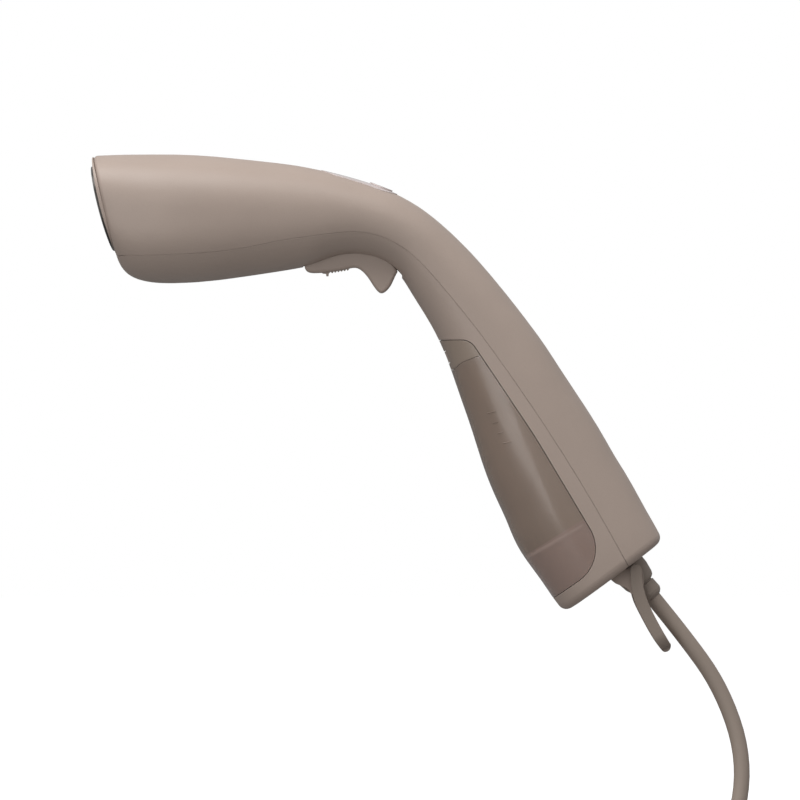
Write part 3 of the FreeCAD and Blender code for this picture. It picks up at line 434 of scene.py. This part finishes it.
def coil_tie():
    """A strap round the bundle of turns."""
    low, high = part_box("cord_tie")
    middle = (low + high) / 2
    thick, corner = 0.0011, 0.0055
    half_x, half_z = (high.x - low.x) / 2, (high.z - low.z) / 2
    rings = []
    for quarter in range(4):
        for step in range(7):
            angle = math.pi / 2 * (quarter + step / 6)
            out = Vector((math.cos(angle), 0, math.sin(angle)))
            sign_x = 1 if quarter in (0, 3) else -1
            sign_z = 1 if quarter in (0, 1) else -1
            centre = middle + Vector((sign_x * (half_x - corner), 0, sign_z * (half_z - corner)))
            rings.append([centre + out * (corner - inset) + Vector((0, y, 0))
                          for y, inset in ((-0.006, 0.0002), (-0.0057, 0), (0.0057, 0), (0.006, 0.0002),
                                           (0.006, thick), (-0.006, thick))])
    rings.append(rings[0])
    return finish_piece(strip("coil_strap", rings, False), "housing", "tie_rubber", "cord_tie")


def plug_ring(x, half_y, half_z, fullness, count=40):
    """A rounded cross-section of the plug at x along it."""
    side = Vector((-PLUG_WAY.y, PLUG_WAY.x, 0)).normalized()
    middle = Vector(TAIL_ROUTE[-1]) + PLUG_WAY.normalized() * x
    ring = []
    for k in range(count):
        angle = 2 * math.pi * k / count
        c, s = math.cos(angle), math.sin(angle)
        y = half_y * math.copysign(abs(c) ** (2 / fullness), c)
        z = half_z * math.copysign(abs(s) ** (2 / fullness), s)
        ring.append(middle + side * y + Vector((0, 0, z)))
    return ring


def plug():
    """The moulded plug: a boot with flex grooves, a ribbed waist for the fingers and a flat face."""
    rings = [plug_ring(0.0, 0.0044, 0.0044, 2)]
    boot = 0.015
    for k in range(5):
        x = 0.0005 + k * 0.0029
        full = 0.0050 + 0.0022 * x / boot
        rings += [plug_ring(x, full, full, 2), plug_ring(x + 0.0018, full + 0.0002, full + 0.0002, 2),
                  plug_ring(x + 0.0020, full - 0.0008, full - 0.0008, 2),
                  plug_ring(x + 0.0027, full - 0.0008, full - 0.0008, 2)]
    profile = [(0.0150, 0.0084, 0.0078, 2.2), (0.0162, 0.0125, 0.0098, 2.4), (0.0178, 0.0150, 0.0110, 2.6)]
    for k in range(5):
        x = 0.0195 + k * 0.0024
        dip = 0.0009 + 0.0007 * math.sin(math.pi * k / 4)
        ridge, groove = (0.0162 - dip, 0.0117 - dip, 2.8), (0.0155 - dip, 0.0111 - dip, 2.8)
        profile += [(x, *ridge), (x + 0.0007, *groove), (x + 0.0015, *groove), (x + 0.0021, *ridge)]
    profile += [(0.0325, 0.0166, 0.0119, 3.0), (0.0350, 0.0173, 0.0124, 3.0), (0.0372, 0.0174, 0.0124, 3.0),
                (0.0378, 0.0171, 0.0121, 3.0), (0.0380, 0.0166, 0.0116, 3.0)]
    rings += [plug_ring(*section) for section in profile]
    return finish_piece(strip("plug_moulding", rings), "housing", "soft_plastic", "plug_body")


# ---------------------------------------------------------------- small fittings
def as_mesh(curve):
    """A curve object's surface as a mesh object of the same name."""
    name = curve.name
    data = bpy.data.meshes.new_from_object(curve)
    bpy.data.objects.remove(curve)
    return bpy.data.objects.new(name, data)


def helix(name, node, way, turns, wire_radius, body, joint=None):
    """A wound spring in place of a CAD sleeve, along the sleeve's own axis.

    With a joint, it gets a mesh of its own.
    """
    low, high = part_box(node)
    way = way.normalized()
    size = high - low
    if abs(way.y) > 0.5:
        across, wide, length = Vector((1, 0, 0)), size.x, size.y
    else:
        across, wide = Vector((0, 1, 0)), size.y
        length = (size.x - wide * abs(way.z)) / abs(way.x)
    third = way.cross(across)
    radius = wide / 2 - wire_radius
    middle = (low + high) / 2
    first = middle - way * (length / 2 - wire_radius)
    points = []
    per_turn = 14
    steps = per_turn * turns
    for k in range(steps + 1):
        angle = 2 * math.pi * k / per_turn
        along = (length - 2 * wire_radius) * k / steps
        points.append(first + way * along + (across * math.cos(angle) + third * math.sin(angle)) * radius)
    spring = finish_piece(as_mesh(wire(name, [points], wire_radius, 3)), body, "steel", node)
    if joint:
        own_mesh(spring)
    return spring


def skin_of(node):
    """A CAD node's surface, for rays."""
    data = frame["nodes"][node].data
    return BVHTree.FromPolygons([v.co for v in data.vertices], [p.vertices for p in data.polygons])


def seam_places(side):
    """Points in the middle of the seam's gap on one side, a little under the skin."""
    skins = [skin_of("upper_shell"), skin_of("lower_shell")]

    def outermost(x, z, lift):
        """(the outer skin's reach from the middle plane, whether it is the upper shell's)."""
        eye = Vector((x + SEAM_SLANT * lift, side * OUTSIDE, z + lift))
        hits = [skin.ray_cast(eye, Vector((0, -side, 0)))[0] for skin in skins]
        upper, lower = [abs(hit.y) if hit else 0.0 for hit in hits]
        return max(upper, lower), upper > lower

    places = []
    for (x0, z0), (x1, z1) in zip(SEAM_ROUTE, SEAM_ROUTE[1:]):
        for step in range(SEAM_STEPS):
            x = x0 + (x1 - x0) * step / SEAM_STEPS
            z = z0 + (z1 - z0) * step / SEAM_STEPS
            low, high = -SEAM_SEARCH, SEAM_SEARCH       # halved down to the upper shell's edge
            for _ in range(12):
                middle = (low + high) / 2
                if outermost(x, z, middle)[1]:
                    high = middle
                else:
                    low = middle
            reach = outermost(x, z, high + 0.0002)[0]   # of the skin just above the edge
            lifts = [high - 0.00025 + 0.00001 * k for k in range(51)]
            gap = [lift for lift in lifts if outermost(x, z, lift)[0] < reach - 0.0004]
            if 2 < len(gap) < 30:                       # leaves out places with no clear gap
                lift = sum(gap) / len(gap)
                places.append(Vector((x + SEAM_SLANT * lift, side * (reach - STRIP_SUNK), z + lift)))
    return places


def seam_strip():
    """A strip set into the housing's seam on both sides."""
    strip_wire = wire("seam_strip", [seam_places(-1), seam_places(1)], STRIP_RADIUS, 2)
    return finish_piece(strip_wire, "housing", "shell_plastic")


def cap_lips():
    """Thin lips along the middle of the cap's upper and lower faces, which close its gaps."""
    skin = skin_of("tank_cap")
    lines = []
    for from_z, way_z, first_x, step_x, shift in LIPS:
        eyes = [Vector((first_x + step_x * step, 0, from_z)) for step in range(LIP_POINTS)]
        hits = [skin.ray_cast(eye, Vector((0, 0, way_z)))[0] for eye in eyes]
        lines.append([hit + Vector((0, 0, shift)) for hit in hits if hit])
    return finish_piece(wire("cap_lips", lines, LIP_RADIUS, 2), "tank", "cap_plastic")


def tank_marks():
    """Moulded level marks on both sides of the tank, the first and the last longer."""
    skin = skin_of("tank_shell")
    lines = []
    for side in (-1, 1):
        for k in range(MARK_COUNT):
            x, z = MARK_FIRST[0] + MARK_STEP[0] * k, MARK_FIRST[1] + MARK_STEP[1] * k
            reach = MARK_LONG if k in (0, MARK_COUNT - 1) else MARK_SHORT
            line = []
            for step in range(5):
                along = reach * step / 4
                eye = Vector((x + along, side * OUTSIDE, z + MARK_SLOPE * along))
                line.append(skin.ray_cast(eye, Vector((0, -side, 0)))[0])
            lines.append(line)
    return finish_piece(wire("level_marks", lines, MARK_RADIUS, 2), "tank", "tank_plastic")


# ---------------------------------------------------------------- studio
def only_seen(tree, seen, lit):
    """A colour that the eye sees, with a dimmer one for the light that it throws on."""
    path = add(tree, "ShaderNodeLightPath")
    return mix(tree, path.outputs["Is Camera Ray"], lit, seen)


def floor():
    """A wide pale floor under the part."""
    half = 6.0
    data = bpy.data.meshes.new("floor")
    z = CAD_BOX[0][2]
    corners = [(-half, -half, z), (half, -half, z), (half, half, z), (-half, half, z)]
    data.from_pydata(corners, [], [(0, 1, 2, 3)])
    plane = bpy.data.objects.new("floor", data)
    bpy.context.scene.collection.objects.link(plane)
    material, tree, shader = start("floor", Roughness=0.9, Specular_IOR_Level=0.1)
    tree.links.new(only_seen(tree, (0.93, 0.93, 0.93), (0.28, 0.28, 0.28)), shader.inputs["Base Color"])
    tree.links.new(only_seen(tree, (0.58, 0.58, 0.58), (0, 0, 0)), shader.inputs["Emission Color"])
    shader.inputs["Emission Strength"].default_value = 1.0
    data.materials.append(material)


def world():
    made = bpy.data.worlds.new("studio")
    made.use_nodes = True
    tree = made.node_tree
    glow = only_seen(tree, (1.0, 1.0, 1.0), (0.50, 0.50, 0.50))
    tree.links.new(glow, tree.nodes["Background"].inputs["Color"])
    bpy.context.scene.world = made


def softbox(name, where, aim, width, height, power):
    data = bpy.data.lights.new(name, "AREA")
    data.shape = "RECTANGLE"
    data.size, data.size_y = width, height
    data.energy = power
    lamp = bpy.data.objects.new(name, data)
    lamp.location = where
    lamp.rotation_euler = (Vector(aim) - Vector(where)).to_track_quat("-Z", "Y").to_euler()
    bpy.context.scene.collection.objects.link(lamp)


def camera():
    data = bpy.data.cameras.new("camera")
    data.sensor_width = SENSOR
    data.lens = SENSOR * VIEW_DISTANCE / VIEW_WIDTH
    eye = bpy.data.objects.new("camera", data)
    eye.location = VIEW_CENTRE - Vector((0, VIEW_DISTANCE, 0))
    eye.rotation_euler = (math.pi / 2, 0, 0)
    bpy.context.scene.collection.objects.link(eye)
    bpy.context.scene.camera = eye


camera()
dress_cad_nodes()
strap = coil_tie()
moulding = plug()
mains_lead()
helix("pump_coil_spring", "pump_spring", PUMP_WAY, 4, 0.0003, "housing", "pump_stroke")
helix("latch_coil_spring", "latch_spring", TANK_WAY, 5, 0.00025, "tank", "latch_press")
helix("trigger_torsion_spring", "trigger_spring", Vector((0, 1, 0)), 2, 0.0002, "housing")
seam_strip()
cap_lips()
tank_marks()
floor()
world()
for lamp in SOFTBOXES:
    softbox(*lamp)
bpy.context.scene.view_settings.view_transform = "Standard"
